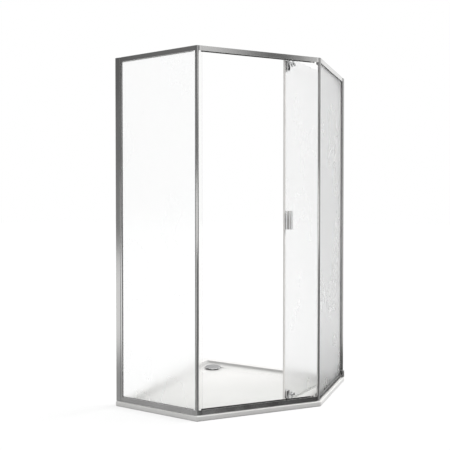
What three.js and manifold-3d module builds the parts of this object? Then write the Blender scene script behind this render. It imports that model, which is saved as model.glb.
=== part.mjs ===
// Corner shower cabin with five sides: a low tray, two fixed side panels in slim
// metal frames and a slanted front whose frosted glass leaf slides and turns.
// Millimetres, +Z up. Origin on the floor under the centre of the square that the
// tray is cut from. The walls stand at -X and +Y; the slanted front faces +X -Y.
import * as THREE from 'three';
import { ConvexGeometry } from 'three/addons/geometries/ConvexGeometry.js';
import { mergeVertices } from 'three/addons/utils/BufferGeometryUtils.js';
import Module from 'manifold-3d';

const wasm = await Module();
wasm.setup();

// Main sizes
const tray_side = 1000;
const cabin_height = 1880;
const panel_length = 504;
const tray_lip = 9;
const slant_degrees = 45;

// Clearances and overruns
const fit_gap = 0.3;
const slide_gap = 0.3;
const cut_overrun = 5;

// Tray
const tray_height = 26;
const tray_bevel = 4;
const tray_foot_inset = 2.5;
const tray_foot_height = 3;
const ledge_width = 50;
const slope_width = 22;
const slope_foot_level = 12;
const drain_level = 8;
const drain_wall_distance = 150;

// Drain
const drain_hole_radius = 44;
const drain_well_radius = 53;
const flange_radius = 50;
const flange_thickness = 1.5;
const spigot_foot_level = 0.5;
const spigot_bore_radius = 35;
const strainer_radius = 39;
const strainer_thickness = 1.5;
const strainer_hole_radius = 5;
const strainer_hole_circle = 22;
const strainer_hole_count = 8;
const strainer_ledge_depth = 4.5;
const cover_radius = 51;
const cover_rise = 7.4;
const cover_thickness = 3;
const cover_dome = 1.6;
const cover_foot_radius = 3;
const cover_foot_circle = 45;
const cover_foot_count = 4;
const cover_lug_width = 14;
const cover_lug_reach = 58;
const cover_lug_degrees = -20;
const knob_radius = 5.5;
const knob_neck_radius = 2.6;
const knob_height = 9;
const knob_neck_height = 3;

// Frame rails and corners
const base_seal_thickness = 1.2;
const base_seal_from = 1;
const base_seal_to = 12;
const rail_height = 25;
const rail_web = 2;
const rail_wall = 2;
const corner_arm = 26;
const corner_radius = 40;
const post_radius = 8.5;
const post_inset = 9.3;
const post_groove_start = 6;
const corner_screw_radius = 2;
const corner_screw_head_radius = 3.6;
const corner_screw_head_height = 2;
const corner_screw_length = 34;

// Wall profiles
const channel_length = 28;
const channel_wall = 1.5;
const channel_base = 2;
const profile_from = 12;
const profile_wall = 1.5;
const profile_web_from = 26;
const profile_web = 2;
const profile_to = 38.5;
const wall_screw_radius = 1.8;
const wall_screw_count = 4;
const wall_screw_end_distance = 140;
const profile_screw_radius = 1.5;
const profile_screw_place = 20;
const profile_screw_count = 3;
const profile_screw_end_distance = 110;
const wall_foot_from = 1.5;
const wall_foot_length = 26;
const wall_foot_proud = 9;
const wall_foot_height = 40;
const wall_foot_rounding = 4;

// Fixed glass and its gasket
const glass_thickness = 6;
const gasket_thickness = 1.2;
const gasket_depth = 7;

// Door leaf
const leading_pivot_place = 56;
const opening_buffer_length = 17.7;
const widest_open_degrees = 37;
const leading_overhang = 20;
const trailing_overhang = 12.5;
const pivot_to_glass = 9;
const leaf_floor_gap = 5;
const leaf_top_gap = 5;
const notch_length = 56;
const bracket_gap = 3;
const leaf_bore_radius = 3;

// Door tracks
const front_skin = 2;
const front_track_inset = 11.1;
const side_track_inset = 25.5;
const side_track_half_width = 5;
const leaf_set_back = 4.1;
const roller_radius = 4.5;
const front_track_margin = 0.5;
const roller_height = 12;
const roller_bore_radius = 2.5;
const pin_radius = 2.2;
const pin_collar_radius = 3.8;
const pin_collar_height = 1.5;
const pin_depth = 11;
const pin_foot_gap = 1;

// Corner brackets of the leaf
const bracket_outer_reach = 7.5;
const long_leg_width = 25;
const long_leg_proud = 12.5;
const long_leg_chamfer = 3;
const top_long_leg_height = 56;
const bottom_long_leg_height = 44;
const short_leg_from = 62;
const short_leg_width = 22;
const short_leg_proud = 11.5;
const short_leg_chamfer = 2;
const short_leg_height = 16;
const leg_rounding = 9;
const long_leg_rounding = 4;
const bracket_bar_height = 8;
const bracket_bar_proud = 8;
const top_riser_height = 20;
const riser_proud = 1.5;
const recess_height = 15;
const recess_depth = 3;
const recess_slope = 7;
const knuckle_radius = 3.5;
const knuckle_height = 13;
const clamp_thickness = 3;
const clamp_screw_radius = 2;
const clamp_bore_radius = 2.3;
const clamp_head_radius = 4.2;
const clamp_head_height = 1.6;
const clamp_thread_depth = 5;
const top_screw_drop = 10;
const top_screw_shift = 3.5;
const lower_screw_drop = 44;
const bottom_screw_rise = 17;
const bottom_upper_screw_rise = 33;
const short_screw_rise = 8;

// Door handle
const handle_from = -2;
const handle_low = 959;
const handle_height = 99;
const handle_reach = 31;
const handle_width = 27;
const handle_wall = 3.5;
const handle_waist = 2.5;
const handle_light_strip = 14;
const handle_strip_fall = 5;
const handle_foot_length = 16;
const handle_rounding = 2.5;
const handle_screw_place = 8;
const handle_screw_end_distance = 22;
const handle_plate_thickness = 3;
const handle_thread_depth = 2.2;

// Door seals and buffers
const seal_wall = 1.2;
const leading_seal_cover = 9;
const trailing_seal_cover = 4.2;
const wiper_cover = 9;
const wiper_end_gap = 6;
const wiper_lip_drop = 3.6;
const wiper_lip_width = 2;
const strike_from = 3;
const strike_to = 33;
const strike_thickness = 2;
const strike_end_gap = 1.5;

// Facets
const round_sides = 32;
const small_sides = 16;
const corner_steps = 8;
const rounding_steps = 4;

// Levels and places that follow from the sizes
const full_turn = Math.PI * 2;
const slant = THREE.MathUtils.degToRad(slant_degrees);
const half_side = tray_side / 2;
const face_inset = half_side - tray_lip;
const vertex_place = panel_length - half_side;
const front_length = (face_inset - vertex_place) / Math.sin(slant);
const frame_low = tray_height + base_seal_thickness + fit_gap;
const frame_high = cabin_height;
const bottom_rail_top = frame_low + rail_height;
const top_rail_foot = frame_high - rail_height;
const rail_skin = channel_wall + slide_gap + profile_wall;
const groove_width = glass_thickness + (gasket_thickness + fit_gap * 2) * 2;
const groove_to = rail_skin + groove_width;
const glass_from = rail_skin + fit_gap + gasket_thickness + fit_gap;
const glass_to = glass_from + glass_thickness;
const side_rail_depth = groove_to + rail_wall;
const front_track_half = leaf_set_back + roller_radius + front_track_margin;
const front_track_to = front_track_inset + front_track_half;
const front_rail_depth = front_track_to + rail_wall;
const side_track_from = side_track_inset - side_track_half_width;
const side_track_to = side_track_inset + side_track_half_width;
const right_rail_depth = side_track_to + rail_wall;
const rail_start = profile_to + fit_gap;
const channel_depth = groove_to + profile_wall + slide_gap + channel_wall;
const post_shift = post_inset * Math.tan(slant / 2);

// Door motion: the trailing pins run along the side track towards the slanted front
// and the leaf turns about them, which keeps its leading pins in the front track.
// Places along the side track are counted from the right corner.
const track_crossing = front_track_inset / Math.sin(slant) - side_track_inset;
const closed_place = track_crossing + leaf_set_back / Math.sin(slant);
const wall_stop_place = panel_length - fit_gap - opening_buffer_length - fit_gap - roller_radius;
const trailing_closed_place = front_length + closed_place * Math.cos(slant)
  - side_track_inset * Math.sin(slant);
const pivot_distance = trailing_closed_place - leading_pivot_place;
// The leaf stops at the wall, or before it lies along the side panel, if that comes first.
const widest_open_angle = THREE.MathUtils.degToRad(widest_open_degrees);
const door_travel = Math.min(wall_stop_place - closed_place,
  pivot_distance * Math.sin(widest_open_angle) / Math.sin(slant));
const open_place = closed_place + door_travel;
const open_angle = Math.asin(door_travel * Math.sin(slant) / pivot_distance);
const leaf_turn = slant + open_angle;
const hinge_x = face_inset - side_track_inset;
const hinge_y = open_place - vertex_place;

// Geometry helpers
function solid(geometry) {
  const bare = geometry.clone();
  bare.deleteAttribute('normal');
  bare.deleteAttribute('uv');
  const merged = mergeVertices(bare);
  const vertProperties = new Float32Array(merged.attributes.position.array);
  const triVerts = new Uint32Array(merged.index.array);
  return new wasm.Manifold(new wasm.Mesh({ numProp: 3, vertProperties, triVerts }));
}

function geometryOf(manifold) {
  const mesh = manifold.getMesh();
  const geometry = new THREE.BufferGeometry();
  geometry.setAttribute('position', new THREE.BufferAttribute(mesh.vertProperties, 3));
  geometry.setIndex(new THREE.BufferAttribute(mesh.triVerts, 1));
  geometry.computeVertexNormals();
  return geometry;
}

function joined(geometries) {
  return geometryOf(geometries.map(solid).reduce((sum, next) => sum.add(next)));
}

function cut(body, tools) {
  return geometryOf(tools.map(solid).reduce((rest, tool) => rest.subtract(tool), solid(body)));
}

function common(first, second) {
  return geometryOf(solid(first).intersect(solid(second)));
}

function shapeOf(outline) {
  return new THREE.Shape(outline.map(([across, up]) => new THREE.Vector2(across, up)));
}

function extruded(outline, depth) {
  return new THREE.ExtrudeGeometry(shapeOf(outline), { depth, bevelEnabled: false });
}

// Upright prism over a plan outline
function prism(outline, low, high) {
  return extruded(outline, high - low).translate(0, 0, low);
}

// Bar along X with its section drawn in Y and Z
function bar(section, from, to) {
  const turn = new THREE.Matrix4().makeBasis(
    new THREE.Vector3(0, 1, 0), new THREE.Vector3(0, 0, 1), new THREE.Vector3(1, 0, 0));
  return extruded(section, to - from).applyMatrix4(turn).translate(from, 0, 0);
}

// Plate with its outline drawn in X and Z
function plate(outline, near, far) {
  const turn = new THREE.Matrix4().makeBasis(
    new THREE.Vector3(1, 0, 0), new THREE.Vector3(0, 0, 1), new THREE.Vector3(0, -1, 0));
  return extruded(outline, far - near).applyMatrix4(turn).translate(0, far, 0);
}

function rectangle(left, right, low, high) {
  return [[left, low], [right, low], [right, high], [left, high]];
}

function block(x_from, x_to, y_from, y_to, z_from, z_to) {
  return prism(rectangle(x_from, x_to, y_from, y_to), z_from, z_to);
}

function rod(radius, low, high, sides = small_sides) {
  const geometry = new THREE.CylinderGeometry(radius, radius, high - low, sides);
  return geometry.rotateX(Math.PI / 2).translate(0, 0, (low + high) / 2);
}

// Rod along Y at a place in X and Z
function crossRod(radius, x, z, near, far) {
  const geometry = new THREE.CylinderGeometry(radius, radius, far - near, small_sides);
  return geometry.translate(x, (near + far) / 2, z);
}

// Rod along X at a place in Y and Z
function alongRod(radius, from, to, y, z) {
  const geometry = new THREE.CylinderGeometry(radius, radius, to - from, small_sides);
  return geometry.rotateZ(Math.PI / 2).translate((from + to) / 2, y, z);
}

function turned(profile, sides = round_sides) {
  const points = profile.map(([radius, up]) => new THREE.Vector2(radius, up));
  return new THREE.LatheGeometry(points, sides).rotateX(Math.PI / 2);
}

function arc(centre_x, centre_y, radius, from, to, steps) {
  return Array.from({ length: steps + 1 }, (_, step) => {
    const angle = from + (to - from) * step / steps;
    return [centre_x + radius * Math.cos(angle), centre_y + radius * Math.sin(angle)];
  });
}

function mirrored(outline, axis_sum) {
  return outline.map(([across, up]) => [axis_sum - across, up]);
}

const steel = { color: 0xb9bcbf, roughness: 0.3, metalness: 1 };
const chrome = { color: 0xc6c9cc, roughness: 0.12, metalness: 1 };
const frame_metal = { color: 0xb4b7ba, roughness: 0.2, metalness: 1 };
const acrylic = { color: 0xf2f2f0, roughness: 0.25, metalness: 0 };
const frosted = { color: 0xeef1f0, roughness: 0.5, metalness: 0, transparent: true, opacity: 0.5 };
const grey_rubber = { color: 0x6b6c6d, roughness: 0.7, metalness: 0 };
const black_rubber = { color: 0x242424, roughness: 0.8, metalness: 0 };
const clear_seal = { color: 0xd9d7d0, roughness: 0.3, metalness: 0, transparent: true, opacity: 0.7 };
const leaf_seal = { color: 0xc9c1b2, roughness: 0.5, metalness: 0 };
const nylon = { color: 0xe6e4de, roughness: 0.5, metalness: 0 };

const cabin = new THREE.Group();

function group(x, y, turn, parent = cabin) {
  const holder = new THREE.Group();
  holder.position.set(x, y, 0);
  holder.rotation.z = turn;
  parent.add(holder);
  return holder;
}

function piece(parent, name, geometry, look) {
  const mesh = new THREE.Mesh(geometry, new THREE.MeshStandardMaterial(look));
  mesh.name = name;
  parent.add(mesh);
  return mesh;
}

// Each face of the cabin has a group: X along the face seen from outside, Y inward.
const left_face = group(-half_side, -face_inset, 0);
const front_face = group(vertex_place, -face_inset, slant);
const right_face = group(face_inset, -vertex_place, slant * 2);
const left_corner = group(vertex_place, -face_inset, 0);
const right_corner = group(face_inset, -vertex_place, slant);

function hull(rings) {
  const points = rings.flatMap(([outline, level]) => outline.map(
    ([x, y]) => new THREE.Vector3(x, y, level)));
  return new ConvexGeometry(points);
}

function circle(x, y, radius, sides = round_sides) {
  return arc(x, y, radius, 0, full_turn, sides).slice(1);
}

function roundedRectangle(left, right, low, high, radius) {
  const quarter = full_turn / 4;
  return [
    ...arc(left + radius, low + radius, radius, quarter * 2, quarter * 3, rounding_steps),
    ...arc(right - radius, low + radius, radius, -quarter, 0, rounding_steps),
    ...arc(right - radius, high - radius, radius, 0, quarter, rounding_steps),
    ...arc(left + radius, high - radius, radius, quarter, quarter * 2, rounding_steps)];
}

// Tray
// Plan of the square with its corner cut off, drawn in by an inset
function trayOutline(inset) {
  const side = half_side - inset;
  const front = vertex_place + face_inset + (tray_lip - inset) / Math.sin(slant);
  return [[-side, side], [-side, -side], [front - side, -side], [side, side - front],
    [side, side]];
}

const drain_place = half_side - drain_wall_distance;
const tray_body = hull([
  [trayOutline(tray_foot_inset), 0],
  [trayOutline(0), tray_foot_height],
  [trayOutline(0), tray_height - tray_bevel],
  [trayOutline(tray_bevel), tray_height]]);
const tray_basin = hull([
  [trayOutline(ledge_width), tray_height + cut_overrun],
  [trayOutline(ledge_width), tray_height],
  [trayOutline(ledge_width + slope_width), slope_foot_level],
  [circle(-drain_place, drain_place, drain_well_radius), drain_level]]);
const drain_hole = rod(drain_hole_radius, -cut_overrun, tray_height, round_sides)
  .translate(-drain_place, drain_place, 0);
piece(cabin, 'shower_tray', cut(tray_body, [tray_basin, drain_hole]), acrylic);

// Drain: a flange with its spigot, a strainer on a ledge and a raised lift-off cover
const drain = group(-drain_place, drain_place, 0);
const flange_foot = drain_level + fit_gap;
const flange_top = flange_foot + flange_thickness;
const strainer_ledge = flange_top - strainer_ledge_depth;
const spigot_radius = drain_hole_radius - fit_gap;
piece(drain, 'drain_flange', turned([
  [spigot_bore_radius, spigot_foot_level], [spigot_radius, spigot_foot_level],
  [spigot_radius, flange_foot], [flange_radius, flange_foot],
  [flange_radius, flange_top], [strainer_radius + fit_gap, flange_top],
  [strainer_radius + fit_gap, strainer_ledge], [spigot_bore_radius, strainer_ledge],
  [spigot_bore_radius, spigot_foot_level]]), chrome);

const strainer_foot = strainer_ledge + fit_gap;
const strainer_top = strainer_foot + strainer_thickness;
const strainer_holes = Array.from({ length: strainer_hole_count }, (_, index) => {
  const angle = full_turn * index / strainer_hole_count;
  return rod(strainer_hole_radius, strainer_foot - cut_overrun, strainer_top + cut_overrun)
    .translate(strainer_hole_circle * Math.cos(angle), strainer_hole_circle * Math.sin(angle), 0);
});
piece(drain, 'drain_strainer', cut(rod(strainer_radius, strainer_foot, strainer_top, round_sides),
  strainer_holes), steel);

const cover_seat = flange_top + fit_gap;
const cover_foot = cover_seat + cover_rise;
const cover_rim = cover_foot + cover_thickness;
const cover_feet = Array.from({ length: cover_foot_count }, (_, index) => {
  const angle = full_turn * (index + 1 / 2) / cover_foot_count;
  return rod(cover_foot_radius, cover_seat, cover_rim)
    .translate(cover_foot_circle * Math.cos(angle), cover_foot_circle * Math.sin(angle), 0);
});
const lug_half = cover_lug_width / 2;
const cover_lug = prism([
  [cover_foot_circle, -lug_half], [cover_lug_reach, -lug_half],
  ...arc(cover_lug_reach, 0, lug_half, -full_turn / 4, full_turn / 4, corner_steps),
  [cover_foot_circle, lug_half]], cover_foot, cover_rim);
const cover_dish = turned([
  [0, cover_foot], [cover_radius, cover_foot], [cover_radius, cover_rim],
  [cover_foot_circle, cover_rim + cover_dome / 2], [0, cover_rim + cover_dome]]);
const cover_turn = THREE.MathUtils.degToRad(cover_lug_degrees);
const cover_holder = new THREE.Group();
cover_holder.rotation.z = cover_turn;
drain.add(cover_holder);
piece(cover_holder, 'drain_cover', joined([cover_dish, cover_lug, ...cover_feet]), chrome);
const knob_foot = cover_rim + fit_gap;
piece(cover_holder, 'drain_cover_knob', turned([
  [0, knob_foot], [knob_neck_radius, knob_foot],
  [knob_neck_radius, knob_foot + knob_neck_height], [knob_radius, knob_foot + knob_neck_height],
  [knob_radius, knob_foot + knob_height], [0, knob_foot + knob_height]], small_sides)
  .translate(cover_lug_reach, 0, 0), chrome);

// Seal strip between the tray and the frame, mitred at the two corners
function sealPath(inset) {
  const shift = inset * Math.tan(slant / 2);
  return [[-half_side, inset - face_inset], [vertex_place - shift, inset - face_inset],
    [face_inset - inset, shift - vertex_place], [face_inset - inset, half_side]];
}
piece(cabin, 'base_seal', prism([...sealPath(base_seal_from), ...sealPath(base_seal_to).reverse()],
  tray_height, tray_height + base_seal_thickness), grey_rubber);

// Rails: a web with walls on both sides of each groove, open towards the glass
function levelAt(upper, rise) {
  return upper ? frame_high - rise : frame_low + rise;
}

function between(upper, from, to) {
  return [levelAt(upper, from), levelAt(upper, to)].sort((first, second) => first - second);
}

function combSection(from, to, grooves, upper) {
  const crest = levelAt(upper, rail_height);
  const floor = levelAt(upper, rail_web);
  const teeth = grooves.flatMap(([start, end]) => [
    [end, crest], [end, floor], [start, floor], [start, crest]]);
  const back = levelAt(upper, 0);
  return [[from, back], [to, back], [to, crest], ...teeth, [from, crest]];
}

const track_groove = [side_track_from, side_track_to];
const inner_rail_from = side_track_from - rail_wall;
for (const upper of [false, true]) {
  const rank = upper ? 'top' : 'bottom';
  piece(left_face, `left_${rank}_rail`, bar(
    combSection(0, side_rail_depth, [[rail_skin, groove_to]], upper),
    rail_start, panel_length - corner_arm), frame_metal);
  piece(front_face, `front_${rank}_rail`, bar(
    combSection(0, front_rail_depth, [[front_skin, front_track_to]], upper),
    corner_arm, front_length - corner_arm), frame_metal);
  const full_section = combSection(0, right_rail_depth,
    [track_groove, [side_rail_depth, inner_rail_from], [rail_skin, groove_to]], upper);
  const track_section = combSection(inner_rail_from, right_rail_depth, [track_groove], upper);
  piece(right_face, `right_${rank}_rail`, joined([
    bar(full_section, corner_arm, panel_length - rail_start),
    bar(track_section, corner_arm, panel_length - fit_gap)]), frame_metal);
}

// Corner pieces and posts; the first face runs along -X and the second along the slant
function secondFace(along, inset) {
  return [along * Math.cos(slant) - inset * Math.sin(slant),
    along * Math.sin(slant) + inset * Math.cos(slant)];
}

const arc_centre = -corner_radius * Math.tan(slant / 2);
const arm_end = corner_arm - fit_gap;

function outsideArc(inset) {
  return arc(arc_centre, corner_radius, corner_radius - inset, -full_turn / 4,
    slant - full_turn / 4, corner_steps);
}

function cornerPlan(first_depth, second_depth) {
  const inner_x = (first_depth * Math.cos(slant) - second_depth) / Math.sin(slant);
  return [[-arm_end, 0], ...outsideArc(0), secondFace(arm_end, 0),
    secondFace(arm_end, second_depth), [inner_x, first_depth], [-arm_end, first_depth]];
}

const skin_plan = [[-arm_end, 0], ...outsideArc(0), secondFace(arm_end, 0),
  secondFace(arm_end, front_skin), ...outsideArc(front_skin).reverse(), [-arm_end, front_skin]];

function glassGroove(in_second, low, high) {
  const far = corner_arm + cut_overrun;
  return in_second
    ? block(post_groove_start, far, rail_skin, groove_to, low, high).rotateZ(slant)
    : block(-far, -post_groove_start, rail_skin, groove_to, low, high);
}

function atPost(geometry) {
  return geometry.translate(-post_shift, post_inset, 0);
}

const screw_bore = corner_screw_radius + fit_gap;
const screw_sink = corner_screw_head_radius + fit_gap;
const screw_sink_depth = corner_screw_head_height + fit_gap;

function cornerPiece(first_depth, second_depth, in_second, upper) {
  const body = joined([
    prism(cornerPlan(first_depth, second_depth), ...between(upper, 0, rail_web)),
    prism(skin_plan, ...between(upper, 0, rail_height)),
    atPost(rod(post_radius, ...between(upper, 0, rail_height), round_sides))]);
  return cut(body, [
    glassGroove(in_second, ...between(upper, rail_web, rail_height + cut_overrun)),
    atPost(rod(screw_bore, ...between(upper, -cut_overrun, rail_height + cut_overrun))),
    atPost(rod(screw_sink, ...between(upper, -cut_overrun, screw_sink_depth)))]);
}

function cornerPost(in_second) {
  const low = bottom_rail_top + fit_gap;
  const high = top_rail_foot - fit_gap;
  const bore_depth = corner_screw_length + cut_overrun;
  return cut(atPost(rod(post_radius, low, high, round_sides)), [
    glassGroove(in_second, low - cut_overrun, high + cut_overrun),
    atPost(rod(screw_bore, ...between(false, 0, bore_depth))),
    atPost(rod(screw_bore, ...between(true, 0, bore_depth)))]);
}

for (const upper of [false, true]) {
  const rank = upper ? 'top' : 'bottom';
  piece(left_corner, `${rank}_left_corner`,
    cornerPiece(side_rail_depth, front_rail_depth, false, upper), frame_metal);
  piece(right_corner, `${rank}_right_corner`,
    cornerPiece(front_rail_depth, right_rail_depth, true, upper), frame_metal);
}
piece(left_corner, 'left_post', cornerPost(false), frame_metal);
piece(right_corner, 'right_post', cornerPost(true), frame_metal);

// Wall channels, adjusting profiles, glass and gaskets of the two side panels
const inner_wall_from = channel_depth - channel_wall;
const channel_plan = [
  [0, 0], [channel_length, 0], [channel_length, channel_wall], [channel_base, channel_wall],
  [channel_base, inner_wall_from], [channel_length, inner_wall_from],
  [channel_length, channel_depth], [0, channel_depth]];
const profile_near = channel_wall + slide_gap;
const profile_far = inner_wall_from - slide_gap;
const profile_web_to = profile_web_from + profile_web;
const profile_plan = [
  [profile_from, profile_near], [profile_to, profile_near], [profile_to, rail_skin],
  [profile_web_to, rail_skin], [profile_web_to, groove_to], [profile_to, groove_to],
  [profile_to, profile_far], [profile_from, profile_far], [profile_from, groove_to],
  [profile_web_from, groove_to], [profile_web_from, rail_skin], [profile_from, rail_skin]];

function spread(count, end_distance) {
  const span = frame_high - frame_low - end_distance * 2;
  return Array.from({ length: count }, (_, index) => (
    frame_low + end_distance + span * index / (count - 1)));
}
const wall_screw_levels = spread(wall_screw_count, wall_screw_end_distance);
const profile_screw_levels = spread(profile_screw_count, profile_screw_end_distance);
const channel_middle = channel_depth / 2;

function sidePanel(face, side, mirror) {
  const at = (place) => (mirror ? panel_length - place : place);
  const plan = (outline) => (mirror ? mirrored(outline, panel_length) : outline);
  const wallRod = (radius, from, to, level) => {
    const ends = [at(from), at(to)].sort((first, second) => first - second);
    return alongRod(radius, ...ends, channel_middle, level);
  };
  const profile_screw_x = at(profile_screw_place);
  const wall_holes = wall_screw_levels.map((level) => wallRod(
    wall_screw_radius + fit_gap, -cut_overrun, channel_base + cut_overrun, level));
  const profileHoles = (near, far) => profile_screw_levels.map((level) => crossRod(
    profile_screw_radius + fit_gap, profile_screw_x, level, near, far));

  piece(face, `${side}_wall_channel`, cut(prism(plan(channel_plan), frame_low, frame_high), [
    ...wall_holes, ...profileHoles(profile_far, channel_depth + cut_overrun)]), frame_metal);
  piece(face, `${side}_wall_profile`, cut(prism(plan(profile_plan), frame_low, frame_high),
    profileHoles(channel_middle, inner_wall_from)), frame_metal);
  const ends = [at(profile_web_to + fit_gap), at(panel_length - post_groove_start - fit_gap)]
    .sort((first, second) => first - second);
  const ring = (inset) => rectangle(ends[0] + inset, ends[1] - inset,
    frame_low + rail_web + fit_gap + inset, frame_high - rail_web - fit_gap - inset);
  piece(face, `${side}_glazing_gasket`, cut(
    plate(ring(0), rail_skin + fit_gap, groove_to - fit_gap), [
      plate(ring(gasket_depth), 0, channel_depth),
      plate(ring(gasket_thickness), glass_from - fit_gap, glass_to + fit_gap)]), grey_rubber);
  piece(face, `${side}_glass`, plate(ring(gasket_thickness + fit_gap), glass_from, glass_to),
    frosted);
}
sidePanel(left_face, 'left', false);
sidePanel(right_face, 'right', true);

// Foot block at the bottom of the right wall channel
const foot_far = panel_length - wall_foot_from;
piece(right_face, 'right_wall_foot', prism(roundedRectangle(foot_far - wall_foot_length, foot_far,
  -wall_foot_proud, -fit_gap, wall_foot_rounding), frame_low, frame_low + wall_foot_height),
frame_metal);

// Strike seal behind the left post and rubber buffers in the tracks
const strike_near = post_inset + post_radius + fit_gap;
piece(front_face, 'strike_seal', block(strike_from, strike_to, strike_near,
  strike_near + strike_thickness, bottom_rail_top + strike_end_gap,
  top_rail_foot - strike_end_gap), clear_seal);
const roller_rise = rail_web + fit_gap;
for (const upper of [false, true]) {
  const rank = upper ? 'top' : 'bottom';
  const levels = between(upper, roller_rise, roller_rise + roller_height);
  piece(right_face, `opening_${rank}_buffer`, block(
    open_place + roller_radius + fit_gap,
    open_place + roller_radius + fit_gap + opening_buffer_length,
    side_track_from + fit_gap, side_track_to - fit_gap, ...levels), black_rubber);
  piece(front_face, `closing_${rank}_buffer`, block(
    corner_arm + fit_gap, leading_pivot_place - roller_radius - fit_gap,
    front_skin + fit_gap, front_track_to - fit_gap, ...levels), black_rubber);
}

// Door leaf, stood open as photographed. Its group starts on the leading pivot line:
// X along the leaf to the trailing pivots, Y from the outside face to the inside face.
const leaf = group(hinge_x - pivot_distance * Math.cos(leaf_turn),
  hinge_y - pivot_distance * Math.sin(leaf_turn), leaf_turn);
const leaf_from = -leading_overhang;
const leaf_to = pivot_distance + trailing_overhang;
const leaf_foot = frame_low + leaf_floor_gap;
const leaf_head = frame_high - leaf_top_gap;
const notch_foot = bottom_rail_top + bracket_gap;
const notch_head = top_rail_foot - bracket_gap;
const leaf_near = pivot_to_glass;
const leaf_far = pivot_to_glass + glass_thickness;
const bracket_back = leaf_near - fit_gap;
const clamp_near = leaf_far + fit_gap;
const clamp_far = clamp_near + clamp_thickness;
const long_leg_near = leaf_near - long_leg_proud;
const short_leg_near = leaf_near - short_leg_proud;
const leg_from = -bracket_outer_reach;
const long_leg_to = leg_from + long_leg_width;
const long_leg_middle = leg_from + long_leg_width / 2;
const short_from = leg_from + short_leg_from;
const short_to = short_from + short_leg_width;
const short_middle = (short_from + short_to) / 2;

// Clamp screws of one bracket: place along the leaf, rise from the rail side, and
// whether the head is on the outside
function clampPlaces(upper) {
  const long_places = upper
    ? [[long_leg_middle + top_screw_shift, top_screw_drop, true],
      [long_leg_middle, lower_screw_drop, false]]
    : [[long_leg_middle, bottom_screw_rise, true],
      [long_leg_middle, bottom_upper_screw_rise, true]];
  return [...long_places, [short_middle, short_screw_rise, false]];
}

function chamferedPlan(from, to, near, far, chamfer) {
  return [[from, far], [from, near + chamfer], [from + chamfer, near], [to - chamfer, near],
    [to, near + chamfer], [to, far]];
}

// Places and levels of a bracket, counted from its own end of the leaf and its own rail
function bracketFrame(upper, trailing) {
  const at = (place) => (trailing ? pivot_distance - place : place);
  const rise = (height) => (upper ? notch_head - height : notch_foot + height);
  const levels = (from, to) => [rise(from), rise(to)].sort((first, second) => first - second);
  const plan = (outline) => outline.map(([x, y]) => [at(x), y]);
  const face = (outline) => outline.map(([x, height]) => [at(x), rise(height)]);
  return { at, rise, levels, plan, face };
}

function legFace(from, to, height, radius) {
  return [[from, 0], [to, 0],
    ...arc(to - radius, height - radius, radius, 0, full_turn / 4, rounding_steps),
    ...arc(from + radius, height - radius, radius, full_turn / 4, full_turn / 2, rounding_steps)];
}

function bracket(upper, trailing) {
  const { at, rise, levels, plan, face } = bracketFrame(upper, trailing);
  const long_height = upper ? top_long_leg_height : bottom_long_leg_height;
  const long_leg = common(
    prism(plan(chamferedPlan(leg_from, long_leg_to, long_leg_near, bracket_back,
      long_leg_chamfer)), ...levels(0, long_height)),
    plate(face(legFace(leg_from, long_leg_to, long_height, long_leg_rounding)),
      long_leg_near, bracket_back));
  const short_leg = common(
    prism(plan(chamferedPlan(short_from, short_to, short_leg_near, bracket_back,
      short_leg_chamfer)), ...levels(0, short_leg_height)),
    plate(face(legFace(short_from, short_to, short_leg_height, leg_rounding)),
      short_leg_near, bracket_back));
  const cross_bar = prism(plan(rectangle(leg_from, short_to - leg_rounding,
    leaf_near - bracket_bar_proud, bracket_back)), ...levels(0, bracket_bar_height));
  const recess = plate(face([
    [leg_from - cut_overrun, -cut_overrun], [long_leg_to + cut_overrun, -cut_overrun],
    [long_leg_to + cut_overrun, recess_height + recess_slope],
    [leg_from - cut_overrun, recess_height - recess_slope]]),
  long_leg_near - cut_overrun, long_leg_near + recess_depth);
  const knuckle = rod(knuckle_radius, ...levels(0, knuckle_height)).translate(at(0), 0, 0);
  // Thin plate that carries the short leg on behind the rail, down to the wiper seal at the foot
  const riser_height = upper ? top_riser_height
    : notch_foot - leaf_foot - wiper_cover - fit_gap;
  const riser = prism(plan(rectangle(short_from, short_to, leaf_near - riser_proud,
    bracket_back)), ...levels(-riser_height, bracket_bar_height));
  const body = joined([upper ? cut(long_leg, [recess]) : long_leg, short_leg, cross_bar, riser,
    knuckle]);
  const pin_bore = rod(roller_bore_radius, ...levels(-cut_overrun, pin_depth))
    .translate(at(0), 0, 0);
  const screw_cuts = clampPlaces(upper).flatMap(([place, height, outside]) => {
    const screw_face = upper ? long_leg_near + recess_depth : long_leg_near;
    const bore = (radius, near, far) => crossRod(radius, at(place), rise(height), near, far);
    return outside
      ? [bore(clamp_bore_radius, long_leg_near - cut_overrun, leaf_near),
        bore(clamp_head_radius + fit_gap, long_leg_near - cut_overrun,
          screw_face + clamp_head_height + fit_gap)]
      : [bore(clamp_bore_radius, bracket_back - clamp_thread_depth - fit_gap, leaf_near)];
  });
  return cut(body, [pin_bore, ...screw_cuts]);
}

function clampPlate(upper, trailing) {
  const { at, rise, plan, levels, face } = bracketFrame(upper, trailing);
  const long_height = upper ? top_long_leg_height : bottom_long_leg_height;
  const leg = (from, to, height, radius) => plate(face(legFace(from, to, height, radius)),
    clamp_near, clamp_far);
  const cross_bar = prism(plan(rectangle(leg_from, short_to - leg_rounding, clamp_near,
    clamp_far)), ...levels(0, bracket_bar_height));
  return cut(joined([
    leg(leg_from, long_leg_to, long_height, long_leg_rounding),
    leg(short_from, short_to, short_leg_height, leg_rounding), cross_bar]),
  clampPlaces(upper).map(([place, height]) => crossRod(
    clamp_bore_radius, at(place), rise(height), leaf_near, clamp_far + cut_overrun)));
}

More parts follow.
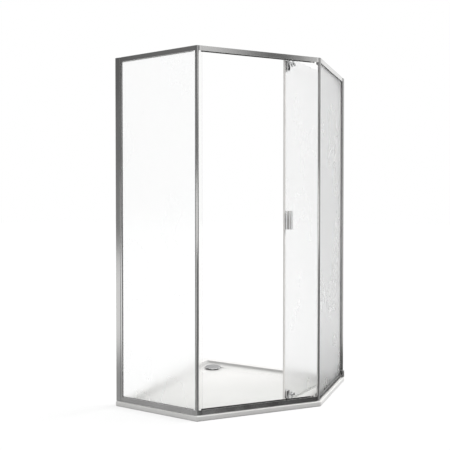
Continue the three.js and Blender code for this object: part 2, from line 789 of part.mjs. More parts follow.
// Screw whose head sits in the outside of a bracket's long leg
function clampScrew(upper, trailing, place, height) {
  const { at, rise } = bracketFrame(upper, trailing);
  const head_near = (upper ? long_leg_near + recess_depth : long_leg_near) + fit_gap;
  const part = (radius, near, far) => crossRod(radius, at(place), rise(height), near, far);
  return joined([
    part(clamp_head_radius, head_near, head_near + clamp_head_height),
    part(clamp_screw_radius, head_near, clamp_far)]);
}

function pivotPin(upper) {
  const collar_rise = roller_rise + roller_height + fit_gap;
  const end_rise = rail_height + bracket_gap + pin_depth - fit_gap;
  return joined([
    rod(pin_radius, ...between(upper, roller_rise + pin_foot_gap, end_rise)),
    rod(pin_collar_radius, ...between(upper, collar_rise, collar_rise + pin_collar_height))]);
}

function guideRoller(upper) {
  const rises = [roller_rise, roller_rise + roller_height];
  return cut(rod(roller_radius, ...between(upper, ...rises), round_sides), [
    rod(roller_bore_radius, ...between(upper, rises[0] - cut_overrun, rises[1] + cut_overrun))]);
}

const leaf_corners = [[false, false], [false, true], [true, false], [true, true]];
for (const [upper, trailing] of leaf_corners) {
  const rank = upper ? 'top' : 'bottom';
  const end = trailing ? 'trailing' : 'leading';
  const pivot = trailing ? pivot_distance : 0;
  piece(leaf, `${end}_${rank}_bracket`, bracket(upper, trailing), chrome);
  piece(leaf, `${end}_${rank}_clamp_plate`, clampPlate(upper, trailing), steel);
  piece(leaf, `${end}_${rank}_pin`, pivotPin(upper).translate(pivot, 0, 0), steel);
  piece(leaf, `${end}_${rank}_roller`, guideRoller(upper).translate(pivot, 0, 0), nylon);
  clampPlaces(upper).filter(([, , outside]) => outside).forEach(([place, height], index) => {
    piece(leaf, `${end}_${rank}_screw_${index + 1}`,
      clampScrew(upper, trailing, place, height), steel);
  });
}

// Leaf glass with its four corners cut back so that it clears the rails as it turns
const handle_to = handle_from + handle_width;
const handle_high = handle_low + handle_height;
const handle_screw_x = handle_from + handle_screw_place;
const handle_screw_levels = [handle_low + handle_screw_end_distance,
  handle_high - handle_screw_end_distance];
const notch_from = leaf_from + notch_length;
const notch_to = leaf_to - notch_length;
const glass_outline = [
  [leaf_from, notch_foot], [notch_from, notch_foot], [notch_from, leaf_foot],
  [notch_to, leaf_foot], [notch_to, notch_foot], [leaf_to, notch_foot],
  [leaf_to, notch_head], [notch_to, notch_head], [notch_to, leaf_head],
  [notch_from, leaf_head], [notch_from, notch_head], [leaf_from, notch_head]];
const clamp_holes = leaf_corners.flatMap(([upper, trailing]) => {
  const { at, rise } = bracketFrame(upper, trailing);
  return clampPlaces(upper).map(([place, height]) => crossRod(leaf_bore_radius, at(place),
    rise(height), leaf_near - cut_overrun, leaf_far + cut_overrun));
});
const handle_holes = handle_screw_levels.map((level) => crossRod(leaf_bore_radius,
  handle_screw_x, level, leaf_near - cut_overrun, leaf_far + cut_overrun));
piece(leaf, 'door_glass', cut(plate(glass_outline, leaf_near, leaf_far),
  [...clamp_holes, ...handle_holes]), frosted);

// Edge seals: each wraps the glass edge between the notches
const seal_near = leaf_near - fit_gap - seal_wall;
const seal_far = leaf_far + fit_gap + seal_wall;
const seal_reach = fit_gap + seal_wall;
function edgeSeal(edge, outward, cover) {
  const outer = edge + outward * seal_reach;
  const pocket = edge + outward * fit_gap;
  const inner = edge - outward * cover;
  return prism([
    [inner, seal_near], [outer, seal_near], [outer, seal_far], [inner, seal_far],
    [inner, leaf_far + fit_gap], [pocket, leaf_far + fit_gap],
    [pocket, leaf_near - fit_gap], [inner, leaf_near - fit_gap]],
  notch_foot + fit_gap, notch_head - fit_gap);
}
piece(leaf, 'leading_seal', edgeSeal(leaf_from, -1, leading_seal_cover), leaf_seal);
piece(leaf, 'trailing_seal', edgeSeal(leaf_to, 1, trailing_seal_cover), leaf_seal);

const wiper_foot = leaf_foot - seal_reach;
const wiper_crest = leaf_foot + wiper_cover;
const leaf_middle = (leaf_near + leaf_far) / 2;
const lip_near = leaf_middle - wiper_lip_width / 2;
const lip_far = leaf_middle + wiper_lip_width / 2;
piece(leaf, 'bottom_wiper_seal', bar([
  [seal_near, wiper_foot], [lip_near, wiper_foot], [lip_near, wiper_foot - wiper_lip_drop],
  [lip_far, wiper_foot - wiper_lip_drop], [lip_far, wiper_foot], [seal_far, wiper_foot],
  [seal_far, wiper_crest], [leaf_far + fit_gap, wiper_crest],
  [leaf_far + fit_gap, leaf_foot - fit_gap], [leaf_near - fit_gap, leaf_foot - fit_gap],
  [leaf_near - fit_gap, wiper_crest], [seal_near, wiper_crest]],
notch_from + wiper_end_gap, notch_to - wiper_end_gap), clear_seal);

// Handle: a grip of hollow section, open towards the hinge side for the fingers
const handle_front = leaf_near - handle_reach;
const grip_curve = arc(0, 0, 1, 0, full_turn / 2, corner_steps).map(([cosine, sine]) => [
  handle_from + handle_waist * sine,
  (handle_front + handle_rounding + bracket_back) / 2
    + (bracket_back - handle_front - handle_rounding) / 2 * cosine]);
const grip_back = grip_curve.map(([x, y]) => [x + handle_wall, y])
  .filter(([, y]) => y > handle_front + handle_wall && y < bracket_back - handle_wall);
piece(leaf, 'handle_grip', cut(prism([
  ...grip_curve, [handle_from + handle_rounding, handle_front],
  [handle_from + handle_light_strip, handle_front],
  [handle_to, handle_front + handle_strip_fall],
  [handle_to, handle_front + handle_strip_fall + handle_wall],
  [handle_from + handle_light_strip, handle_front + handle_wall],
  [handle_from + handle_wall + handle_rounding, handle_front + handle_wall],
  ...grip_back.reverse(),
  [handle_from + handle_wall, bracket_back - handle_wall],
  [handle_from + handle_foot_length, bracket_back - handle_wall],
  [handle_from + handle_foot_length, bracket_back]], handle_low, handle_high),
handle_screw_levels.map((level) => crossRod(clamp_bore_radius, handle_screw_x, level,
  bracket_back - handle_thread_depth - fit_gap, leaf_near))), chrome);
piece(leaf, 'handle_inner_plate', cut(block(handle_from, handle_from + handle_foot_length,
  clamp_near, clamp_near + handle_plate_thickness, handle_low, handle_high),
handle_screw_levels.map((level) => crossRod(clamp_bore_radius, handle_screw_x, level,
  leaf_near, clamp_far + cut_overrun))), chrome);
export default cabin;
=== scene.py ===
"""Dresses the solids of a five-sided corner shower cabin and sets its studio.

Metres, Z up, walls at -X and +Y, the slanted front towards +X -Y.
"""

import math

import bmesh
import bpy
from mathutils import Matrix, Vector


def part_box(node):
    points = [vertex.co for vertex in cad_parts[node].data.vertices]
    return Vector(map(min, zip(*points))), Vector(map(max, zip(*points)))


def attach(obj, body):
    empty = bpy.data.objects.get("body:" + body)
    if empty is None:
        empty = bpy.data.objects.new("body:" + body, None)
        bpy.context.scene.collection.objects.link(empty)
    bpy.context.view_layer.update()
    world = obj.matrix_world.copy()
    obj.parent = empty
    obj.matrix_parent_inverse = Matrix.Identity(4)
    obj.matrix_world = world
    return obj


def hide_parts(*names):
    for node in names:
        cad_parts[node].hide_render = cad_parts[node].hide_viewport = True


bl_info = {
    "name": "Corner Shower Cabin",
    "version": (1, 0, 0),
    "blender": (4, 5, 0),
    "location": "3D View > Sidebar > Cabin",
    "description": "Tray, frame, frosted panels and moving leaf of a corner cabin",
    "category": "Add Mesh",
}

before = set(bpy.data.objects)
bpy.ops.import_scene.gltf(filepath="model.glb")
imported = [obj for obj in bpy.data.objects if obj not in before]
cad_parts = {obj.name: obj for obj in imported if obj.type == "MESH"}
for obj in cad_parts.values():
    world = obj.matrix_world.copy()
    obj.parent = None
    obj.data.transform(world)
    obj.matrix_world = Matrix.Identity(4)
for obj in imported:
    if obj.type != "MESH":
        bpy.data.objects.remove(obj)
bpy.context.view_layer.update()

TRAY_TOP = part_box("shower_tray")[1].z
FRAME_LOW, FRAME_HIGH = (corner.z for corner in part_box("left_wall_channel"))
FLANGE_LOW, FLANGE_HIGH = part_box("drain_flange")
DRAIN = (FLANGE_LOW + FLANGE_HIGH) / 2

# Plan: the frame's outer faces stand inside the tray's edges by FACE_INSET
HALF_SIDE = 0.5
FACE_INSET = 0.009
FACE_REACH = HALF_SIDE - FACE_INSET
PANEL_LENGTH = 0.504
VERTEX = PANEL_LENGTH - HALF_SIDE
POST_INSET = 0.0093
SLANT = math.radians(45)

# Tray: its foot and levels above the floor, and radii of the drain's well and hole
FOOT_INSET, FOOT_RISE, FOOT_FLARE, FOOT_TIGHTER = 0.0025, 0.0022, 0.0008, 0.0015
EDGE_STEPS = 6
FLOOR_LEVEL, DRAIN_LEVEL = 0.012, 0.008
COVE_RADIUS = 0.012
WELL_RADIUS, HOLE_RADIUS, HOLE_ROUNDING = 0.053, 0.044, 0.001
# Inner edge of the ledge: run inward, and level from the tray's top
LEDGE_EDGE = ((-0.0015, 0.0), (-0.0004, -0.0001), (0.0009, -0.0007), (0.002, -0.002))
# Cove down to the floor: run inward, and level from the floor
COVE = (
    (0.0075, 0.0045),
    (0.0105, 0.0026),
    (0.018, 0.0015),
    (0.032, 0.0007),
    (0.05, 0.0002),
    (0.07, 0.0),
)
# Shares of the way from the cove to the well where the floor has an edge loop
FALL_SHARES = (0.04, 0.2, 0.4, 0.6, 0.78, 0.9, 0.97, 1.0)


class TraySizes(bpy.types.PropertyGroup):
    """Sizes and colour of the tray"""

    edge_radius: bpy.props.FloatProperty(
        name="Edge radius",
        description="Rounding of the outer top edge",
        default=0.004,
        min=0.001,
        unit="LENGTH",
    )
    corner_radius: bpy.props.FloatProperty(
        name="Corner radius",
        description="Rounding of the five corners in plan",
        default=0.006,
        min=0.001,
        unit="LENGTH",
    )
    wall_ledge: bpy.props.FloatProperty(
        name="Wall ledge",
        description="Width of the flat ledge along the two walls",
        default=0.048,
        unit="LENGTH",
    )
    frame_ledge: bpy.props.FloatProperty(
        name="Frame ledge",
        description="Width of the flat ledge under the frame",
        default=0.05,
        unit="LENGTH",
    )
    colour: bpy.props.FloatVectorProperty(
        name="Acrylic colour",
        description="Colour of the cast acrylic",
        subtype="COLOR",
        size=3,
        default=(0.9, 0.893, 0.878),
    )


class MetalFinish(bpy.types.PropertyGroup):
    """Finish of the frame, the fittings and the drain"""

    edge_rounding: bpy.props.FloatProperty(
        name="Edge rounding",
        description="Rounding of the edges of the drawn profiles",
        default=0.0005,
        unit="LENGTH",
    )
    fitting_rounding: bpy.props.FloatProperty(
        name="Fitting rounding",
        description="Rounding of the edges of brackets and handle",
        default=0.001,
        unit="LENGTH",
    )
    frame_colour: bpy.props.FloatVectorProperty(
        name="Frame colour",
        description="Colour of the polished aluminium",
        subtype="COLOR",
        size=3,
        default=(0.76, 0.757, 0.75),
    )
    frame_roughness: bpy.props.FloatProperty(
        name="Frame roughness",
        description="Mean roughness of the polished aluminium",
        default=0.13,
        subtype="FACTOR",
    )
    chrome_colour: bpy.props.FloatVectorProperty(
        name="Chrome colour",
        description="Colour of the chromed fittings",
        subtype="COLOR",
        size=3,
        default=(0.78, 0.785, 0.79),
    )
    chrome_roughness: bpy.props.FloatProperty(
        name="Chrome roughness",
        description="Mean roughness of the chromed fittings",
        default=0.06,
        subtype="FACTOR",
    )


class GlassFinish(bpy.types.PropertyGroup):
    """Finish of the three frosted panes"""

    arris: bpy.props.FloatProperty(
        name="Arris",
        description="Width of the ground arris on the pane edges",
        default=0.0009,
        unit="LENGTH",
    )
    tint: bpy.props.FloatVectorProperty(
        name="Tint",
        description="Colour of the light that the frosted glass lets through",
        subtype="COLOR",
        size=3,
        default=(0.994, 0.997, 0.996),
    )
    frost: bpy.props.FloatProperty(
        name="Frost",
        description="Roughness of the etched faces",
        default=0.28,
        subtype="FACTOR",
    )


class ScrewSizes(bpy.types.PropertyGroup):
    """Sizes of the repeated screws"""

    clamp_head: bpy.props.FloatProperty(
        name="Clamp head",
        description="Head radius of the clamp screws of the leaf",
        default=0.0042,
        unit="LENGTH",
    )
    wall_head: bpy.props.FloatProperty(
        name="Wall head",
        description="Head radius of the wall screws",
        default=0.0036,
        unit="LENGTH",
    )
    corner_head: bpy.props.FloatProperty(
        name="Corner head",
        description="Head radius of the sunk corner screws",
        default=0.0035,
        unit="LENGTH",
    )
    socket_share: bpy.props.FloatProperty(
        name="Socket share",
        description="Width of the six-sided socket as a share of the head's width",
        default=0.55,
        subtype="FACTOR",
    )
    strainer_holes: bpy.props.IntProperty(
        name="Strainer holes",
        description="Number of holes in the drain strainer",
        default=8,
        min=3,
        max=12,
    )


class StudioLook(bpy.types.PropertyGroup):
    """Light, floor and camera of the studio"""

    ambient: bpy.props.FloatProperty(
        name="Ambient",
        description="Strength of the even light from all round",
        default=0.56,
    )
    key: bpy.props.FloatProperty(
        name="Key strength",
        description="Strength of the soft lamp above the right side",
        default=2.8,
    )
    fill: bpy.props.FloatProperty(
        name="Fill strength",
        description="Strength of the weak lamp in front of the left side",
        default=0.9,
    )
    floor_colour: bpy.props.FloatVectorProperty(
        name="Floor colour",
        description="Colour of the floor for the light that it gives back",
        subtype="COLOR",
        size=3,
        default=(0.25, 0.25, 0.25),
    )
    floor_lift: bpy.props.FloatProperty(
        name="Floor lift",
        description="What the floor adds where it is seen, so that it reads white",
        default=0.75,
    )


def scaled(colour, factor):
    """The colour made darker or brighter, with its parts held between 0 and 1."""
    return tuple(max(0.0, min(1.0, part * factor)) for part in colour[:3]) + (1.0,)


WHITE = (1.0, 1.0, 1.0, 1.0)
EVEN = (1.0, 1.0, 1.0)
LIGHT_THROUGH_PANE = (0.925, 0.93, 0.925, 1.0)


class Nodes:
    """Short hand for building a node tree."""

    def __init__(self, tree):
        self.tree = tree

    def add(self, kind, **settings):
        node = self.tree.nodes.new(kind)
        for key, value in settings.items():
            setattr(node, key, value)
        return node

    def link(self, source, target):
        self.tree.links.new(source, target)

    def feed(self, value, socket):
        """Links a socket to an input, or sets the input to a value."""
        if isinstance(value, bpy.types.NodeSocket):
            self.link(value, socket)
        else:
            socket.default_value = value

    def wired(self, kind, output, inputs, **settings):
        """The named output of a new node; inputs go by their name or number."""
        node = self.add(kind, **settings)
        for name, value in inputs.items():
            self.feed(value, node.inputs[name])
        return node.outputs[output]

    def math(self, operation, *values):
        node = self.add("ShaderNodeMath", operation=operation)
        for socket, value in zip(node.inputs, values):
            self.feed(value, socket)
        return node.outputs[0]

    def spread(self, value, low, high, to_low, to_high, smooth=False):
        """The value moved from one range to another and held there."""
        ranges = {"From Min": low, "From Max": high, "To Min": to_low, "To Max": to_high}
        return self.wired(
            "ShaderNodeMapRange",
            "Result",
            {"Value": value, **ranges},
            interpolation_type="SMOOTHSTEP" if smooth else "LINEAR",
        )

    def ramp(self, factor, stops):
        """Colours or greys between stops of (place, value)."""
        node = self.add("ShaderNodeValToRGB")
        elements = node.color_ramp.elements
        while len(elements) < len(stops):
            elements.new(0.5)
        for element, (place, value) in zip(elements, stops):
            element.position = place
            colour = (value,) * 3 if isinstance(value, float) else tuple(value[:3])
            element.color = colour + (1.0,)
        self.link(factor, node.inputs["Fac"])
        return node.outputs["Color"]

    def mixed(self, factor, first, second):
        """Blend of two colours, each a socket or a value."""
        node = self.add("ShaderNodeMix", data_type="RGBA")
        sockets = {socket.identifier: socket for socket in node.inputs}
        self.link(factor, sockets["Factor_Float"])
        self.feed(first, sockets["A_Color"])
        self.feed(second, sockets["B_Color"])
        return next(o for o in node.outputs if o.identifier == "Result_Color")

    def noise(self, scale, size, turn=0.0, detail=3.0):
        """Noise on Object coordinates; scale may differ along the three axes."""
        place = self.add("ShaderNodeTexCoord").outputs["Object"]
        inputs = {"Vector": place, "Rotation": (0.0, 0.0, -turn), "Scale": scale}
        place = self.wired("ShaderNodeMapping", "Vector", inputs)
        inputs = {"Vector": place, "Scale": size, "Detail": detail}
        return self.wired("ShaderNodeTexNoise", "Fac", inputs)

    def tones(self, factor, colour, dark, bright, high=0.7):
        """The colour from a darker to a brighter tone as the factor goes up to high."""
        stops = [(0.3, scaled(colour, dark)), (high, scaled(colour, bright))]
        return self.ramp(factor, stops)

    def surface(self, shader, colour, roughness, height, strength, distance):
        """Gives the shader its colour and roughness, and bumps from a height."""
        bump = {"Height": height, "Strength": strength, "Distance": distance}
        self.feed(colour, shader.inputs["Base Color"])
        self.feed(roughness, shader.inputs["Roughness"])
        self.feed(self.wired("ShaderNodeBump", "Normal", bump), shader.inputs["Normal"])


def new_material(name):
    """A material with its nodes and its shader."""
    material = bpy.data.materials.new(name)
    material.use_nodes = True
    shader = material.node_tree.nodes["Principled BSDF"]
    return material, Nodes(material.node_tree), shader


def drawn_metal(name, colour, roughness, turn, upright):
    """Polished drawn profile: faint lines along its length and slow changes of polish."""
    material, nodes, shader = new_material(name)
    lengthwise = (1.0, 1.0, 0.008) if upright else (0.008, 1.0, 1.0)
    lines = nodes.noise(lengthwise, 700.0, turn, 2.0)
    polish = nodes.noise((1.0, 1.0, 0.35), 9.0, turn)
    both = nodes.math("ADD", nodes.math("MULTIPLY", lines, 0.4), polish)
    colours = nodes.tones(polish, colour, 0.96, 1.03)
    shine = nodes.spread(both, 0.45, 0.95, roughness - 0.04, roughness + 0.05)
    nodes.surface(shader, colours, shine, lines, 0.06, 0.0002)
    shader.inputs["Metallic"].default_value = 1.0
    return material


def plated_metal(name, colour, roughness, grain=60.0):
    """Chromed casting: mirror-like with slow waves and faint wiping marks."""
    material, nodes, shader = new_material(name)
    waves = nodes.noise(EVEN, grain, 0.0, 2.0)
    wipes = nodes.noise((1.0, 0.25, 1.0), grain * 6, 0.6, 4.0)
    colours = nodes.tones(waves, colour, 0.96, 1.03, 0.75)
    shine = nodes.spread(wipes, 0.35, 0.7, roughness - 0.025, roughness + 0.05)
    nodes.surface(shader, colours, shine, waves, 0.08, 0.0004)
    shader.inputs["Metallic"].default_value = 1.0
    return material


def frosted_glass(name, tint, frost, bend=1.34):
    """Etched glass or clear strip: blurs what is behind it and lets the lamps through."""
    material, nodes, shader = new_material(name)
    clouds = nodes.noise((1.0, 1.0, 0.6), 5.0)
    grain = nodes.noise(EVEN, 900.0, 0.0, 2.0)
    colours = nodes.tones(clouds, tint, 0.992, 1.0)
    blur = nodes.spread(clouds, 0.3, 0.7, frost - 0.015, frost + 0.015)
    nodes.surface(shader, colours, blur, grain, 0.03, 0.0001)
    shader.inputs["Transmission Weight"].default_value = 1.0
    shader.inputs["IOR"].default_value = bend
    path = nodes.add("ShaderNodeLightPath").outputs
    through = nodes.math("MAXIMUM", path["Is Shadow Ray"], path["Is Diffuse Ray"])
    clear = nodes.wired("ShaderNodeBsdfTransparent", "BSDF", {"Color": LIGHT_THROUGH_PANE})
    inputs = {"Fac": through, 1: shader.outputs["BSDF"], 2: clear}
    mix = nodes.wired("ShaderNodeMixShader", "Shader", inputs)
    nodes.link(mix, nodes.tree.nodes["Material Output"].inputs["Surface"])
    return material


def cast_acrylic(name, colour):
    """Glossy white acrylic with a very slight orange peel, and painted shade that darkens
    its colour in its hollows.
    """
    material, nodes, shader = new_material(name)
    clouds = nodes.noise(EVEN, 4.0, 0.0, 4.0)
    peel = nodes.noise(EVEN, 140.0, 0.0, 2.0)
    # Painted shade: the tray's own ambient occlusion darkens the base colour down to 0.6 of
    # it near the rims, in the coves and round the drain.
    painted_hollow_shade = nodes.wired(
        "ShaderNodeAmbientOcclusion", "AO", {"Distance": 0.16}, samples=32, only_local=True
    )
    unshaded_share = nodes.spread(painted_hollow_shade, 0.96, 1.0, 0.0, 1.0)
    white = nodes.tones(clouds, colour, 0.985, 1.01)
    colours = nodes.mixed(unshaded_share, scaled(colour, 0.6), white)
    shine = nodes.spread(clouds, 0.3, 0.7, 0.3, 0.4)
    nodes.surface(shader, colours, shine, peel, 0.08, 0.0003)
    shader.inputs["Specular IOR Level"].default_value = 0.4
    return material


def moulded(name, colour, roughness):
    """Moulded rubber, nylon or seal strip with a fine surface."""
    material, nodes, shader = new_material(name)
    clouds = nodes.noise((1.0, 1.0, 0.2), 30.0)
    skin = nodes.noise(EVEN, 260.0)
    colours = nodes.tones(clouds, colour, 0.94, 1.05)
    shine = nodes.spread(skin, 0.3, 0.7, roughness - 0.06, roughness + 0.06)
    nodes.surface(shader, colours, shine, skin, 0.12, 0.0002)
    return material


MATERIALS = {}


def finish_for(name):
    """The named finish, made once."""
    if name in MATERIALS:
        return MATERIALS[name]
    scene = bpy.context.scene
    metal, glass, tray = scene.cabin_metal, scene.cabin_glass, scene.cabin_tray
    drawn = (metal.frame_colour, metal.frame_roughness)
    chrome, shine = metal.chrome_colour, metal.chrome_roughness
    makers = {
        "upright_metal": lambda: drawn_metal(name, *drawn, 0, True),
        # Painted shade: the frame colour darkened to 0.45 for the right wall channel only;
        # the higher roughness is a real satin finish.
        "satin_metal": lambda: drawn_metal(
            name, scaled(metal.frame_colour, 0.45), metal.frame_roughness + 0.08, 0, True
        ),
        "left_rail_metal": lambda: drawn_metal(name, *drawn, 0, False),
        "front_rail_metal": lambda: drawn_metal(name, *drawn, SLANT, False),
        "right_rail_metal": lambda: drawn_metal(name, *drawn, SLANT * 2, False),
        "fitting_chrome": lambda: plated_metal(name, chrome, shine),
        "corner_chrome": lambda: plated_metal(name, metal.frame_colour, 0.09, 30.0),
        "drain_chrome": lambda: plated_metal(name, chrome, shine + 0.04, 40.0),
        "screw_steel": lambda: plated_metal(name, (0.6, 0.6, 0.6), 0.25, 300.0),
        "strainer_steel": lambda: plated_metal(name, (0.3, 0.3, 0.305), 0.3, 120.0),
        "frosted_pane": lambda: frosted_glass(name, glass.tint, glass.frost),
        "frosted_leaf": lambda: frosted_glass(name, glass.tint, glass.frost),
        "acrylic": lambda: cast_acrylic(name, tray.colour),
        "grey_rubber": lambda: moulded(name, (0.16, 0.16, 0.16), 0.6),
        "black_rubber": lambda: moulded(name, (0.02, 0.02, 0.02), 0.65),
        "leaf_strip": lambda: moulded(name, (0.92, 0.905, 0.88), 0.45),
        "clear_strip": lambda: frosted_glass(name, (0.97, 0.97, 0.965), 0.14, 1.18),
        "white_nylon": lambda: moulded(name, (0.78, 0.77, 0.74), 0.45),
    }
    MATERIALS[name] = makers[name]()
    return MATERIALS[name]


# Rounding of the edges of small parts, and shares of the finish's own rounding
STRAINER_ROUNDING = 0.0002
FINE_ROUNDING = 0.0003
SMALL_ROUNDING = 0.0004
ROLLER_ROUNDING = 0.0006
BUFFER_ROUNDING = 0.001
COVER_ROUNDING = 0.003
WALL_FOOT_SHARE, GRIP_SHARE = 1.6, 1.3
# Points and faces that count as the same, and edges that count as sharp
SAME_POINT = 0.000008
SAME_FACE = math.radians(0.4)
SHARP_EDGE = math.radians(30)
FLAT_FACES_FIRST = 90


def merged_copy(node):
    """A CAD node's mesh as a clean bmesh: doubles merged and flat faces joined."""
    shape = bmesh.new()
    shape.from_mesh(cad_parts[node].data)
    bmesh.ops.remove_doubles(shape, verts=shape.verts, dist=SAME_POINT)
    bmesh.ops.dissolve_limit(
        shape, angle_limit=SAME_FACE, verts=shape.verts, edges=shape.edges
    )
    return shape


def plain_mesh(piece):
    """Turns the piece's modifiers into a plain mesh and takes them off."""
    bpy.context.view_layer.update()
    evaluated = piece.evaluated_get(bpy.context.evaluated_depsgraph_get())
    mesh = bpy.data.meshes.new_from_object(evaluated)
    piece.modifiers.clear()
    piece.data = mesh
    mesh.name = piece.name


def new_piece(name, shape):
    """An object at the origin with the bmesh as its mesh."""
    mesh = bpy.data.meshes.new(name)
    shape.to_mesh(mesh)
    shape.free()
    piece = bpy.data.objects.new(name, mesh)
    bpy.context.scene.collection.objects.link(piece)
    return piece


def soften(piece, width, segments=2, smooth=True):
    """Rounds the edges of a piece and keeps its flat faces flat."""
    for polygon in piece.data.polygons:
        polygon.use_smooth = smooth
    if width > 0:
        bevel = piece.modifiers.new("Edges", "BEVEL")
        bevel.width, bevel.segments = width, segments
        bevel.limit_method, bevel.angle_limit = "ANGLE", SHARP_EDGE
        bevel.miter_outer = "MITER_ARC"
    if smooth:
        weighted = piece.modifiers.new("Faces", "WEIGHTED_NORMAL")
        weighted.weight = FLAT_FACES_FIRST
    if piece.modifiers:
        plain_mesh(piece)


def settle(piece, body, slot, finish, *nodes):
    """Gives a finished piece its material and body, and hides the nodes that it stands for.
    """
    piece.data.materials.clear()
    piece.data.materials.append(finish_for(finish))
    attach(piece, body)
    if nodes:
        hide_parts(*nodes)


def refined(node, body, slot, finish, width, segments=2, smooth=True):
    """The node's own form with rounded edges and a real finish."""
    piece = new_piece(node + "_finished", merged_copy(node))
    soften(piece, width, segments, smooth)
    settle(piece, body, slot, finish, node)


def face_frame(face):
    """Matrix from a side panel's sizes (along, inward, up) to the row frame."""
    origin, turn = {
        "left": ((-HALF_SIDE, -FACE_REACH), 0.0),
        "right": ((FACE_REACH, -VERTEX), SLANT * 2),
    }[face]
    return Matrix.Translation((*origin, 0.0)) @ Matrix.Rotation(turn, 4, "Z")


def leaf_frame():
    """Matrix from the leaf's own sizes to the row frame, and its length, by its pins."""
    boxes = [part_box(f"{end}_bottom_roller") for end in ("leading", "trailing")]
    start, end = ((low + high) / 2 for low, high in boxes)
    turn = math.atan2(end.y - start.y, end.x - start.x)
    move = Matrix.Translation((start.x, start.y, 0.0))
    return move @ Matrix.Rotation(turn, 4, "Z"), (end - start).length


# Tray
def offset_plan(on_wall, on_frame):
    """Five corners of the tray's plan, its sides drawn in by one inset or the other."""
    slant_reach = (PANEL_LENGTH - FACE_INSET) / math.sqrt(2) + FACE_INSET
    sides = [
        (Vector((-1, 0)), HALF_SIDE - on_wall),
        (Vector((0, -1)), HALF_SIDE - on_frame),
        (Vector((math.sin(SLANT), -math.cos(SLANT))), slant_reach - on_frame),
        (Vector((1, 0)), HALF_SIDE - on_frame),
        (Vector((0, 1)), HALF_SIDE - on_wall),
    ]
    corners = []
    for index, (normal, reach) in enumerate(sides):
        other, other_reach = sides[(index + 1) % len(sides)]
        across = normal.x * other.y - normal.y * other.x
        x = (reach * other.y - other_reach * normal.y) / across
        y = (normal.x * other_reach - other.x * reach) / across
        corners.append(Vector((x, y)))
    return corners


def rounded_ring(corners, radius, steps=5, cuts=12):
    """Points round a plan with its corners rounded, the same count for any plan."""
    arcs = []
    count = len(corners)
    for index, corner in enumerate(corners):
        before = (corners[index - 1] - corner).normalized()
        after = (corners[(index + 1) % count] - corner).normalized()
        half_angle = math.acos(max(-1.0, min(1.0, before.dot(after)))) / 2
        reach = radius / math.tan(half_angle)
        inward = (before + after).normalized()
        centre = corner + inward * (radius / math.sin(half_angle))
        start, end = corner + before * reach, corner + after * reach
        first = math.atan2(start.y - centre.y, start.x - centre.x)
        last = math.atan2(end.y - centre.y, end.x - centre.x)
        sweep = math.remainder(last - first, math.tau)
        arc = []
        for step in range(steps):
            angle = first + sweep * step / (steps - 1)
            spoke = Vector((math.cos(angle), math.sin(angle)))
            arc.append(centre + spoke * (start - centre).length)
        arcs.append(arc)
    points = []
    for index, arc in enumerate(arcs):
        start, end = arc[-1], arcs[(index + 1) % count][0]
        points += arc
        points += [start.lerp(end, cut / (cuts + 1)) for cut in range(1, cuts + 1)]
    return points


def tray_shape(sizes):
    """Tray as one closed skin: foot, rounded edge, ledge, cove, floor with falls, drain."""
    edge, corner = sizes.edge_radius, sizes.corner_radius
    rings = []

    def ring(run, level, radius, wall=0.0, front=0.0):
        plan = rounded_ring(offset_plan(wall + run, front + run), radius)
        rings.append([Vector((point.x, point.y, level)) for point in plan])

    def round_drain(radius, level):
        spokes = ((point - centre).xy.normalized() for point in rim)
        rings.append([Vector((*(centre.xy + spoke * radius), level)) for spoke in spokes])

    ring(FOOT_INSET, 0.0, corner - FOOT_TIGHTER)
    ring(FOOT_INSET, FOOT_RISE, corner - FOOT_TIGHTER)
    ring(0.0, FOOT_RISE + FOOT_FLARE, corner)
    for step in range(EDGE_STEPS + 1):
        angle = math.pi / 2 * step / EDGE_STEPS
        inset = edge - edge * math.cos(angle)
        ring(inset, TRAY_TOP - edge + edge * math.sin(angle), corner - inset)
    for profile, base in ((LEDGE_EDGE, TRAY_TOP), (COVE, FLOOR_LEVEL)):
        for run, rise in profile:
            radius = COVE_RADIUS + max(run, 0.0)
            ring(run, base + rise, radius, sizes.wall_ledge, sizes.frame_ledge)
    rim = rings[-1]
    centre = Vector((DRAIN.x, DRAIN.y, 0.0))
    for share in FALL_SHARES:
        level = FLOOR_LEVEL + (DRAIN_LEVEL - FLOOR_LEVEL) * share
        loop = []
        for point in rim:
            flat = Vector((point.x, point.y, 0.0))
            spot = flat.lerp(centre + (flat - centre).normalized() * WELL_RADIUS, share)
            loop.append(Vector((spot.x, spot.y, level)))
        rings.append(loop)
    round_drain(HOLE_RADIUS + HOLE_ROUNDING, DRAIN_LEVEL)
    round_drain(HOLE_RADIUS, DRAIN_LEVEL - HOLE_ROUNDING)
    round_drain(HOLE_RADIUS, 0.0)
    return rings


def skin(rings):
    """Quads between rings of the same count; the last ring meets the first one."""
    shape = bmesh.new()
    loops = [[shape.verts.new(point) for point in ring] for ring in rings]
    for lower, upper in zip(loops, loops[1:] + loops[:1]):
        for index, start in enumerate(lower):
            after = (index + 1) % len(lower)
            shape.faces.new((start, lower[after], upper[after], upper[index]))
    bmesh.ops.recalc_face_normals(shape, faces=shape.faces)
    return shape


class CABIN_OT_tray(bpy.types.Operator):
    """Build the cast tray"""

    bl_idname = "cabin.tray"
    bl_label = "Tray"

    def execute(self, context):
        piece = new_piece("tray_casting", skin(tray_shape(context.scene.cabin_tray)))
        soften(piece, 0)
        settle(piece, "cabin", "tray", "acrylic", "shower_tray")
        return {"FINISHED"}


